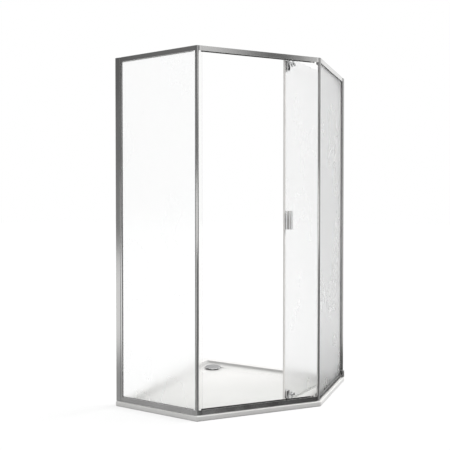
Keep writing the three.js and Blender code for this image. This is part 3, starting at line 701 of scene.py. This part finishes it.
# Geometry Nodes: a screw at every point, and a strainer
def tree_with_inputs(name, sizes):
    """A tree with these inputs and a material, its nodes and its two ends."""
    tree = bpy.data.node_groups.new(name, "GeometryNodeTree")
    tree.is_modifier = True
    add = tree.interface.new_socket
    add("Geometry", in_out="INPUT", socket_type="NodeSocketGeometry")
    for label, value in sizes.items():
        kind = "NodeSocketInt" if isinstance(value, int) else "NodeSocketFloat"
        add(label, in_out="INPUT", socket_type=kind).default_value = value
    add("Material", in_out="INPUT", socket_type="NodeSocketMaterial")
    add("Geometry", in_out="OUTPUT", socket_type="NodeSocketGeometry")
    nodes = Nodes(tree)
    start = nodes.add("NodeGroupInput")
    end = nodes.add("NodeGroupOutput")
    return tree, nodes, start.outputs, end.inputs


def carved(nodes, solid, tool):
    """The solid with the tool cut out of it."""
    return nodes.wired(
        "GeometryNodeMeshBoolean",
        "Mesh",
        {"Mesh 1": solid, "Mesh 2": tool},
        operation="DIFFERENCE",
        solver="EXACT",
    )


def set_out(nodes, given, result, solid, placing):
    """Sets the solid on every point, makes it real and gives it its material."""
    inputs = {"Points": given["Geometry"], "Instance": solid, **placing}
    places = nodes.wired("GeometryNodeInstanceOnPoints", "Instances", inputs)
    real = nodes.wired("GeometryNodeRealizeInstances", "Geometry", {"Geometry": places})
    inputs = {"Geometry": real, "Material": given["Material"]}
    painted = nodes.wired("GeometryNodeSetMaterial", "Geometry", inputs)
    nodes.link(painted, result["Geometry"])


def screw_tree():
    """A socket screw at every point of the input, its head towards head_direction."""
    sizes = {
        "Head Radius": 0.004,
        "Head Height": 0.0016,
        "Shank Radius": 0.002,
        "Shank Length": 0.01,
        "Socket Radius": 0.0022,
        "Socket Depth": 0.0009,
    }
    tree, nodes, given, result = tree_with_inputs("Socket screws", sizes)

    def drum(sides, radius, depth, level):
        inputs = {"Vertices": sides, "Radius": radius, "Depth": depth}
        cylinder = nodes.wired("GeometryNodeMeshCylinder", "Mesh", inputs)
        lift = nodes.wired("ShaderNodeCombineXYZ", "Vector", {"Z": level})
        inputs = {"Geometry": cylinder, "Translation": lift}
        return nodes.wired("GeometryNodeTransform", "Geometry", inputs)

    head_middle = nodes.math("MULTIPLY", given["Head Height"], 0.5)
    head = drum(32, given["Head Radius"], given["Head Height"], head_middle)
    sunk = nodes.math("MULTIPLY", given["Head Height"], 0.4)
    depth = nodes.math("ADD", given["Shank Length"], sunk)
    middle = nodes.math("SUBTRACT", sunk, nodes.math("MULTIPLY", depth, 0.5))
    shank = drum(20, given["Shank Radius"], depth, middle)
    socket_depth = nodes.math("MULTIPLY", given["Socket Depth"], 2.0)
    socket = drum(6, given["Socket Radius"], socket_depth, given["Head Height"])
    union = nodes.add("GeometryNodeMeshBoolean", operation="UNION", solver="EXACT")
    nodes.link(head, union.inputs["Mesh 2"])
    nodes.link(shank, union.inputs["Mesh 2"])
    screw = carved(nodes, union.outputs["Mesh"], socket)
    direction = nodes.wired(
        "GeometryNodeInputNamedAttribute",
        "Attribute",
        {"Name": "head_direction"},
        data_type="FLOAT_VECTOR",
    )
    turned = nodes.wired(
        "FunctionNodeAlignRotationToVector", "Rotation", {"Vector": direction}, axis="Z"
    )
    set_out(nodes, given, result, screw, {"Rotation": turned})
    return tree


def strainer_tree():
    """A disc with a ring of holes and one hole in the middle."""
    sizes = {
        "Disc Radius": 0.039,
        "Thickness": 0.0015,
        "Hole Radius": 0.005,
        "Hole Circle": 0.022,
        "Hole Count": 8,
    }
    tree, nodes, given, result = tree_with_inputs("Strainer disc", sizes)
    inputs = {"Vertices": 96, "Radius": given["Disc Radius"], "Depth": given["Thickness"]}
    disc = nodes.wired("GeometryNodeMeshCylinder", "Mesh", inputs)
    inputs = {"Vertices": 32, "Radius": given["Hole Radius"], "Depth": 0.01}
    hole = nodes.wired("GeometryNodeMeshCylinder", "Mesh", inputs)
    inputs = {"Vertices": given["Hole Count"], "Radius": given["Hole Circle"]}
    circle = nodes.wired("GeometryNodeMeshCircle", "Mesh", inputs)
    inputs = {"Points": circle, "Instance": hole}
    holes = nodes.wired("GeometryNodeInstanceOnPoints", "Instances", inputs)
    tools = nodes.wired("GeometryNodeRealizeInstances", "Geometry", {"Geometry": holes})
    set_out(nodes, given, result, carved(nodes, disc, tools), {})
    return tree


def grown(name, tree, spots, inputs):
    """Runs a tree on spots of (place, direction) and gives the result as a plain mesh."""
    mesh = bpy.data.meshes.new(name)
    mesh.from_pydata([tuple(place) for place, _ in spots], [], [])
    attribute = mesh.attributes.new("head_direction", "FLOAT_VECTOR", "POINT")
    for index, (_, direction) in enumerate(spots):
        attribute.data[index].vector = direction
    piece = bpy.data.objects.new(name, mesh)
    bpy.context.scene.collection.objects.link(piece)
    modifier = piece.modifiers.new("Shape", "NODES")
    modifier.node_group = tree
    for socket in tree.interface.items_tree:
        if socket.in_out == "INPUT" and socket.name in inputs:
            modifier[socket.identifier] = inputs[socket.name]
    plain_mesh(piece)
    if not piece.data.polygons:
        raise RuntimeError(f"{name} came out empty")
    left_over = piece.data.attributes.get("head_direction")
    if left_over:
        piece.data.attributes.remove(left_over)
    return piece


def turned_by(matrix, direction):
    """A direction in the row frame."""
    return (matrix.to_3x3() @ Vector(direction)).normalized()


# Screws of the channels and profiles: count, first from the end, from the wall, inward
WALL_SCREW_ROWS = {
    "wall": (4, 0.14, 0.0022, 0.0081),
    "profile": (3, 0.11, 0.02, 0.01635),
}
CORNER_SEAT = 0.0022
# Screws of the leaf: from its end along it, and from the clamp plate's end up or down it
CLAMP_PLACES = {"bottom": [(0.005, 0.017), (0.005, 0.033)], "top": [(0.0085, 0.01)]}
CLAMP_SEATS = {"bottom": -0.0016, "top": 0.0014}
INNER_PLACES = {"bottom": [(0.0655, 0.008)], "top": [(0.0655, 0.008), (0.005, 0.044)]}
INNER_SEAT = 0.01835
HANDLE_PLACE, HANDLE_LEVELS = 0.006, (0.981, 1.036)


def wall_screw_spots(kind):
    """Spots in the two wall channels or in the two adjusting profiles."""
    count, end, place, inset = WALL_SCREW_ROWS[kind]
    spots = []
    for face in ("left", "right"):
        matrix = face_frame(face)
        along = place if face == "left" else PANEL_LENGTH - place
        inward = 1 if face == "left" else -1
        aim = turned_by(matrix, (inward, 0, 0) if kind == "wall" else (0, 1, 0))
        for index in range(count):
            share = index / (count - 1)
            level = FRAME_LOW + end + (FRAME_HIGH - FRAME_LOW - end * 2) * share
            spots.append((matrix @ Vector((along, inset, level)), aim))
    return spots


def corner_screw_spots():
    """Spots at the top and the foot of each post, on its axis."""
    shift = POST_INSET * math.tan(SLANT / 2)
    left_axis = (VERTEX - shift, POST_INSET - FACE_REACH)
    right_axis = (FACE_REACH - POST_INSET, shift - VERTEX)
    return [
        (Vector((*axis, level)), Vector((0, 0, up)))
        for axis in (left_axis, right_axis)
        for level, up in ((FRAME_HIGH - CORNER_SEAT, 1), (FRAME_LOW + CORNER_SEAT, -1))
    ]


def clamp_screw_spots(kind):
    """Spots on the outside or the inside of the leaf's four clamps."""
    matrix, length = leaf_frame()
    outside = kind == "clamp"
    aim = turned_by(matrix, (0, -1 if outside else 1, 0))
    spots = []
    for rank in ("bottom", "top"):
        plate_low, plate_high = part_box(f"leading_{rank}_clamp_plate")
        places = (CLAMP_PLACES if outside else INNER_PLACES)[rank]
        seat = CLAMP_SEATS[rank] if outside else INNER_SEAT
        for trailing in (False, True):
            for place, rise in places:
                along = length - place if trailing else place
                level = plate_low.z + rise if rank == "bottom" else plate_high.z - rise
                spots.append((matrix @ Vector((along, seat, level)), aim))
    return spots


def screw_spots(kind):
    """Seats of the screw heads and the directions that the heads face."""
    if kind in WALL_SCREW_ROWS:
        return wall_screw_spots(kind)
    if kind == "corner":
        return corner_screw_spots()
    if kind != "handle":
        return clamp_screw_spots(kind)
    matrix, _ = leaf_frame()
    aim = turned_by(matrix, (0, 1, 0))
    return [
        (matrix @ Vector((HANDLE_PLACE, INNER_SEAT, level)), aim)
        for level in HANDLE_LEVELS
    ]


SCREW_KINDS = {
    # kind: body, head radius name, head height, shank radius, shank length
    "wall": ("cabin", "wall_head", 0.002, 0.0018, 0.002),
    "profile": ("cabin", "wall_head", 0.0018, 0.0015, 0.008),
    "corner": ("cabin", "corner_head", 0.0019, 0.002, 0.032),
    "clamp": ("door_leaf", "clamp_head", 0.0016, 0.002, 0.0185),
    "inner_clamp": ("door_leaf", "clamp_head", 0.0016, 0.002, 0.0135),
    "handle": ("door_leaf", "clamp_head", 0.0016, 0.002, 0.0112),
}
SOCKET_DEPTH_SHARE = 0.6
SCREW_ROUNDING = 0.00018
CLAMP_SCREW_NODES = [
    "leading_top_screw_1",
    "trailing_top_screw_1",
    "leading_bottom_screw_1",
    "leading_bottom_screw_2",
    "trailing_bottom_screw_1",
    "trailing_bottom_screw_2",
]


class CABIN_OT_screws(bpy.types.Operator):
    """Set the socket screws of the frame and of the leaf"""

    bl_idname = "cabin.screws"
    bl_label = "Screws"

    def execute(self, context):
        sizes = context.scene.cabin_screws
        tree = screw_tree()
        for kind, (body, head, height, shank, length) in SCREW_KINDS.items():
            radius = getattr(sizes, head)
            inputs = {
                "Head Radius": radius,
                "Head Height": height,
                "Shank Radius": shank,
                "Shank Length": length,
                "Socket Radius": radius * sizes.socket_share,
                "Socket Depth": height * SOCKET_DEPTH_SHARE,
                "Material": finish_for("screw_steel"),
            }
            spots = screw_spots(kind)
            piece = grown(f"{kind}_screws", tree, spots, inputs)
            soften(piece, SCREW_ROUNDING)
            nodes = CLAMP_SCREW_NODES if kind == "clamp" else ()
            settle(piece, body, "steel", "screw_steel", *nodes)
        return {"FINISHED"}


class CABIN_OT_drain(bpy.types.Operator):
    """Build the drain with its strainer, cover and knob"""

    bl_idname = "cabin.drain"
    bl_label = "Drain"

    def execute(self, context):
        metal = ("drain_metal", "drain_chrome")
        rounding = context.scene.cabin_metal.fitting_rounding
        refined("drain_flange", "cabin", *metal, SMALL_ROUNDING)
        refined("drain_cover", "drain_cover", *metal, COVER_ROUNDING, 5)
        refined("drain_cover_knob", "drain_cover", *metal, rounding, 3)
        low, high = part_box("drain_strainer")
        inputs = {
            "Disc Radius": (high.x - low.x) / 2,
            "Thickness": high.z - low.z,
            "Hole Count": context.scene.cabin_screws.strainer_holes,
            "Material": finish_for("strainer_steel"),
        }
        spots = [((low + high) / 2, Vector((0, 0, 1)))]
        piece = grown("strainer_disc", strainer_tree(), spots, inputs)
        soften(piece, STRAINER_ROUNDING)
        settle(piece, "cabin", "strainer", "strainer_steel", "drain_strainer")
        return {"FINISHED"}


class CABIN_OT_frame(bpy.types.Operator):
    """Finish the channels, profiles, rails, corners and posts"""

    bl_idname = "cabin.frame"
    bl_label = "Frame"

    def execute(self, context):
        rounding = context.scene.cabin_metal.edge_rounding
        cabin_metal = ("cabin", "frame_metal")
        for side in ("left", "right"):
            for part in ("wall_channel", "wall_profile", "post"):
                # The right wall channel gets the darker copy of the frame metal as painted
                # shade.
                shaded = (side, part) == ("right", "wall_channel")
                finish = "satin_metal" if shaded else "upright_metal"
                refined(f"{side}_{part}", *cabin_metal, finish, rounding)
            for rank in ("top", "bottom"):
                refined(f"{rank}_{side}_corner", *cabin_metal, "corner_chrome", rounding)
        for face in ("left", "front", "right"):
            for rank in ("top", "bottom"):
                rail = f"{face}_{rank}_rail"
                refined(rail, *cabin_metal, f"{face}_rail_metal", rounding)
        foot = ("right_wall_foot", *cabin_metal, "upright_metal")
        refined(*foot, rounding * WALL_FOOT_SHARE, 3)
        return {"FINISHED"}


class CABIN_OT_panels(bpy.types.Operator):
    """Finish the two fixed panes and their gaskets"""

    bl_idname = "cabin.panels"
    bl_label = "Side panels"

    def execute(self, context):
        arris = context.scene.cabin_glass.arris
        for side in ("left", "right"):
            pane = f"{side}_glass"
            refined(pane, "cabin", "side_glass", "frosted_pane", arris, 1, False)
            gasket = f"{side}_glazing_gasket"
            refined(gasket, "cabin", "grey_rubber", "grey_rubber", FINE_ROUNDING)
        return {"FINISHED"}


class CABIN_OT_seals(bpy.types.Operator):
    """Finish the base seal, the strike seal and the rubber buffers"""

    bl_idname = "cabin.seals"
    bl_label = "Seals and buffers"

    def execute(self, context):
        refined("base_seal", "cabin", "grey_rubber", "grey_rubber", FINE_ROUNDING)
        refined("strike_seal", "cabin", "clear_seal", "clear_strip", SMALL_ROUNDING)
        rubber = ("black_rubber", "black_rubber")
        for motion in ("opening", "closing"):
            for rank in ("top", "bottom"):
                refined(f"{motion}_{rank}_buffer", "cabin", *rubber, BUFFER_ROUNDING, 3)
        return {"FINISHED"}


class CABIN_OT_leaf(bpy.types.Operator):
    """Finish the leaf's pane and the seals on its edges"""

    bl_idname = "cabin.leaf"
    bl_label = "Door leaf"

    def execute(self, context):
        arris = context.scene.cabin_glass.arris
        pane = ("door_glass", "door_leaf", "door_glass", "frosted_leaf")
        refined(*pane, arris, 1, False)
        for end in ("leading", "trailing"):
            seal = f"{end}_seal"
            refined(seal, "door_leaf", "leaf_seal", "leaf_strip", SMALL_ROUNDING)
        wiper = ("bottom_wiper_seal", "door_leaf", "clear_seal", "clear_strip")
        refined(*wiper, FINE_ROUNDING)
        return {"FINISHED"}


class CABIN_OT_guides(bpy.types.Operator):
    """Finish the leaf's brackets, clamp plates, pins and rollers"""

    bl_idname = "cabin.guides"
    bl_label = "Brackets and guides"

    def execute(self, context):
        rounding = context.scene.cabin_metal.fitting_rounding
        steel = ("steel", "screw_steel")
        for end in ("leading", "trailing"):
            pin_body = "trailing_pins" if end == "trailing" else "door_leaf"
            for rank in ("top", "bottom"):
                corner = f"{end}_{rank}"
                bracket = (f"{corner}_bracket", "door_leaf", "fittings", "fitting_chrome")
                refined(*bracket, rounding, 3)
                refined(f"{corner}_clamp_plate", "door_leaf", *steel, SMALL_ROUNDING)
                refined(f"{corner}_pin", pin_body, *steel, FINE_ROUNDING)
                roller = f"{corner}_roller"
                refined(roller, roller, "nylon", "white_nylon", ROLLER_ROUNDING, 3)
        return {"FINISHED"}


class CABIN_OT_handle(bpy.types.Operator):
    """Finish the hollow grip and its inner plate"""

    bl_idname = "cabin.handle"
    bl_label = "Handle"

    def execute(self, context):
        rounding = context.scene.cabin_metal.fitting_rounding
        metal = ("door_leaf", "fittings", "fitting_chrome")
        refined("handle_grip", *metal, rounding * GRIP_SHARE, 3)
        refined("handle_inner_plate", *metal, rounding)
        return {"FINISHED"}


# Stage
def seen_ray(nodes):
    """1 for rays that show the background: camera, glossy and transmission."""
    path = nodes.add("ShaderNodeLightPath").outputs
    bounced = nodes.math("MAXIMUM", path["Is Glossy Ray"], path["Is Transmission Ray"])
    return nodes.math("MAXIMUM", path["Is Camera Ray"], bounced)


def white_world(context, ambient):
    """White where it is seen, and an even weak light on everything."""
    world = bpy.data.worlds.new("Even studio light")
    world.use_nodes = True
    nodes = Nodes(world.node_tree)
    background = world.node_tree.nodes["Background"]
    background.inputs["Color"].default_value = WHITE
    strength = nodes.spread(seen_ray(nodes), 0.0, 1.0, ambient, 1.0)
    nodes.link(strength, background.inputs["Strength"])
    context.scene.world = world


def floor_material(colour, lift):
    """Pale floor that reads white where it is seen and keeps its shadows."""
    material, nodes, shader = new_material("Pale floor")
    shader.inputs["Base Color"].default_value = (*colour[:3], 1.0)
    shader.inputs["Roughness"].default_value = 0.9
    shader.inputs["Specular IOR Level"].default_value = 0.0
    shader.inputs["Emission Color"].default_value = WHITE
    glow = nodes.spread(seen_ray(nodes), 0.0, 1.0, 0.0, lift)
    nodes.link(glow, shader.inputs["Emission Strength"])
    return material


SURROUND_CENTRE = (0.0, 0.0, 1.0)
SURROUND_RADIUS = 12.0
PALE_GROUND = (0.85, 0.85, 0.85, 1.0)
# Greys of the surround from the ground up. Each band takes over from the one below it
# between two heights of the direction, and has stops of (turn round the compass, grey).
SURROUND_BANDS = (
    # where the low rails and the tray look
    (-0.5, -0.41, [
        (0.0, 0.25), (0.1, 0.3), (0.155, 0.35), (0.25, 0.3), (0.36, 0.12),
        (0.42, 0.06), (0.5, 0.06), (0.54, 0.8), (0.58, 0.8), (0.62, 0.12),
        (0.71, 0.14), (0.78, 0.3), (0.81, 0.65), (0.86, 0.65), (0.92, 0.3),
        (1.0, 0.25),
    ]),
    # just above them
    (-0.295, -0.27, [
        (0.0, 0.22), (0.1, 0.28), (0.12, 0.8), (0.175, 0.8), (0.2, 0.25),
        (0.36, 0.2), (0.42, 0.12), (0.6, 0.14), (0.63, 0.9), (0.66, 0.95),
        (0.76, 0.95), (0.79, 0.7), (0.86, 0.7), (0.92, 0.3), (1.0, 0.22),
    ]),
    # at eye level
    (-0.09, -0.06, [
        (0.0, 0.5), (0.06, 1.0), (0.115, 0.5), (0.13, 0.24), (0.165, 0.24),
        (0.2, 1.0), (0.34, 1.0), (0.44, 0.4), (0.5, 0.12), (0.6, 0.1), (0.63, 0.9),
        (0.66, 0.95), (0.78, 0.95), (1.0, 0.5),
    ]),
    # above eye level
    (0.05, 0.12, [
        (0.0, 0.36), (0.1, 0.22), (0.155, 0.18), (0.25, 0.16), (0.29, 0.3),
        (0.35, 0.3), (0.385, 0.2), (0.49, 0.22), (0.58, 0.25), (0.63, 0.9),
        (0.66, 0.95), (0.76, 0.95), (0.83, 0.5), (0.92, 0.42), (1.0, 0.36),
    ]),
    # where the top rails look
    (0.235, 0.25, [
        (0.0, 0.36), (0.1, 0.14), (0.135, 0.1), (0.155, 0.18), (0.25, 0.16),
        (0.29, 0.3), (0.35, 0.3), (0.385, 0.3), (0.4, 0.8), (0.418, 0.7),
        (0.43, 0.34), (0.44, 0.08), (0.447, 0.12), (0.455, 0.8), (0.468, 0.9),
        (0.49, 0.35), (0.58, 0.35), (0.64, 0.6), (0.66, 0.95), (0.76, 0.95),
        (0.83, 0.6), (0.92, 0.42), (1.0, 0.36),
    ]),
)


def surround_material():
    """Grey studio walls with lighter and darker bays, as polished metal shows them."""
    material, nodes, shader = new_material("Studio surround")
    nodes.tree.nodes.remove(shader)
    kind = "ShaderNodeVectorMath"
    place = nodes.add("ShaderNodeTexCoord").outputs["Object"]
    inputs = {0: place, 1: SURROUND_CENTRE}
    direction = nodes.wired(kind, "Vector", inputs, operation="SUBTRACT")
    direction = nodes.wired(kind, "Vector", {0: direction}, operation="NORMALIZE")
    parts = nodes.add("ShaderNodeSeparateXYZ")
    nodes.link(direction, parts.inputs["Vector"])
    height = parts.outputs["Z"]
    bearing = nodes.math("ARCTAN2", parts.outputs["Y"], parts.outputs["X"])
    turn = nodes.math("ADD", nodes.math("DIVIDE", bearing, math.tau), 0.5)
    walls = PALE_GROUND
    for low, high, bays in SURROUND_BANDS:
        rise = nodes.spread(height, low, high, 0.0, 1.0, True)
        walls = nodes.mixed(rise, walls, nodes.ramp(turn, bays))
    path = nodes.add("ShaderNodeLightPath").outputs
    colour = nodes.mixed(path["Is Transmission Ray"], walls, WHITE)
    glow = nodes.wired("ShaderNodeEmission", "Emission", {"Color": colour})
    nodes.link(glow, nodes.tree.nodes["Material Output"].inputs["Surface"])
    return material


def stage_object(name, shape, material):
    """A piece of the studio."""
    piece = new_piece(name, shape)
    piece.data.materials.append(material)
    return piece


FLOOR_REACH = 60.0
LAMP_AIM = Vector((0.0, 0.0, 0.5))
CAMERA_LENS = 43.07
CAMERA_PLACE = (1.3301, -2.8326, 1.0323)
CAMERA_TURN = (89.009, 0.0, 26.55)


class CABIN_OT_studio(bpy.types.Operator):
    """Lay the floor and set the light and the camera"""

    bl_idname = "cabin.studio"
    bl_label = "Studio"

    def execute(self, context):
        look = context.scene.cabin_studio
        white_world(context, look.ambient)
        shape = bmesh.new()
        bmesh.ops.create_grid(shape, x_segments=1, y_segments=1, size=FLOOR_REACH)
        paint = floor_material(look.floor_colour, look.floor_lift)
        stage_object("studio_floor", shape, paint).visible_glossy = False
        shape = bmesh.new()
        bmesh.ops.create_uvsphere(
            shape, u_segments=64, v_segments=32, radius=SURROUND_RADIUS
        )
        bmesh.ops.translate(shape, verts=shape.verts, vec=SURROUND_CENTRE)
        bmesh.ops.reverse_faces(shape, faces=shape.faces)
        surround = stage_object("studio_surround", shape, surround_material())
        for kind in ("camera", "diffuse", "transmission", "shadow", "volume_scatter"):
            setattr(surround, f"visible_{kind}", False)

        for name, angle, energy, place in (
            ("Soft key", 40, look.key, (3.0, 2.5, 3.5)),
            ("Soft fill", 60, look.fill, (-3.0, -3.4, 2.0)),
        ):
            lamp_data = bpy.data.lights.new(name, "SUN")
            lamp_data.angle = math.radians(angle)
            lamp_data.energy = energy
            lamp = bpy.data.objects.new(name, lamp_data)
            context.scene.collection.objects.link(lamp)
            lamp.location = place
            aim = LAMP_AIM - lamp.location
            lamp.rotation_euler = aim.to_track_quat("-Z", "Y").to_euler()
            lamp.visible_glossy = False
            lamp.visible_transmission = False

        camera_data = bpy.data.cameras.new("Camera")
        camera_data.sensor_width = 36.0
        camera_data.lens = CAMERA_LENS
        camera_data.clip_end = 200.0
        camera = bpy.data.objects.new("Camera", camera_data)
        context.scene.collection.objects.link(camera)
        camera.location = CAMERA_PLACE
        camera.rotation_euler = [math.radians(angle) for angle in CAMERA_TURN]
        context.scene.camera = camera
        context.scene.view_settings.view_transform = "Standard"
        return {"FINISHED"}


class CABIN_PT_sidebar(bpy.types.Panel):
    """Lists the makers of the cabin"""

    bl_idname = "CABIN_PT_sidebar"
    bl_label = "Corner Shower Cabin"
    bl_space_type = "VIEW_3D"
    bl_region_type = "UI"
    bl_category = "Cabin"

    def draw(self, context):
        column = self.layout.column(align=True)
        for maker in MAKERS:
            column.operator(maker.bl_idname)
        for holder, name in HOLDERS.items():
            box = self.layout.box()
            group = getattr(context.scene, name)
            for key in holder.__annotations__:
                box.prop(group, key)


HOLDERS = {
    TraySizes: "cabin_tray",
    MetalFinish: "cabin_metal",
    GlassFinish: "cabin_glass",
    ScrewSizes: "cabin_screws",
    StudioLook: "cabin_studio",
}
MAKERS = (
    CABIN_OT_tray,
    CABIN_OT_drain,
    CABIN_OT_frame,
    CABIN_OT_panels,
    CABIN_OT_seals,
    CABIN_OT_leaf,
    CABIN_OT_guides,
    CABIN_OT_handle,
    CABIN_OT_screws,
    CABIN_OT_studio,
)


def register():
    """Registers the sizes, the makers and the panel."""
    for holder, name in HOLDERS.items():
        bpy.utils.register_class(holder)
        setattr(bpy.types.Scene, name, bpy.props.PointerProperty(type=holder))
    for maker in (*MAKERS, CABIN_PT_sidebar):
        bpy.utils.register_class(maker)


def unregister():
    """Takes them off again."""
    for maker in (CABIN_PT_sidebar, *reversed(MAKERS)):
        bpy.utils.unregister_class(maker)
    for holder, name in HOLDERS.items():
        delattr(bpy.types.Scene, name)
        bpy.utils.unregister_class(holder)


def main():
    """Makes the cabin and its studio."""
    register()
    for maker in MAKERS:
        getattr(bpy.ops.cabin, maker.bl_idname.partition(".")[2])()


if __name__ == "__main__":
    main()
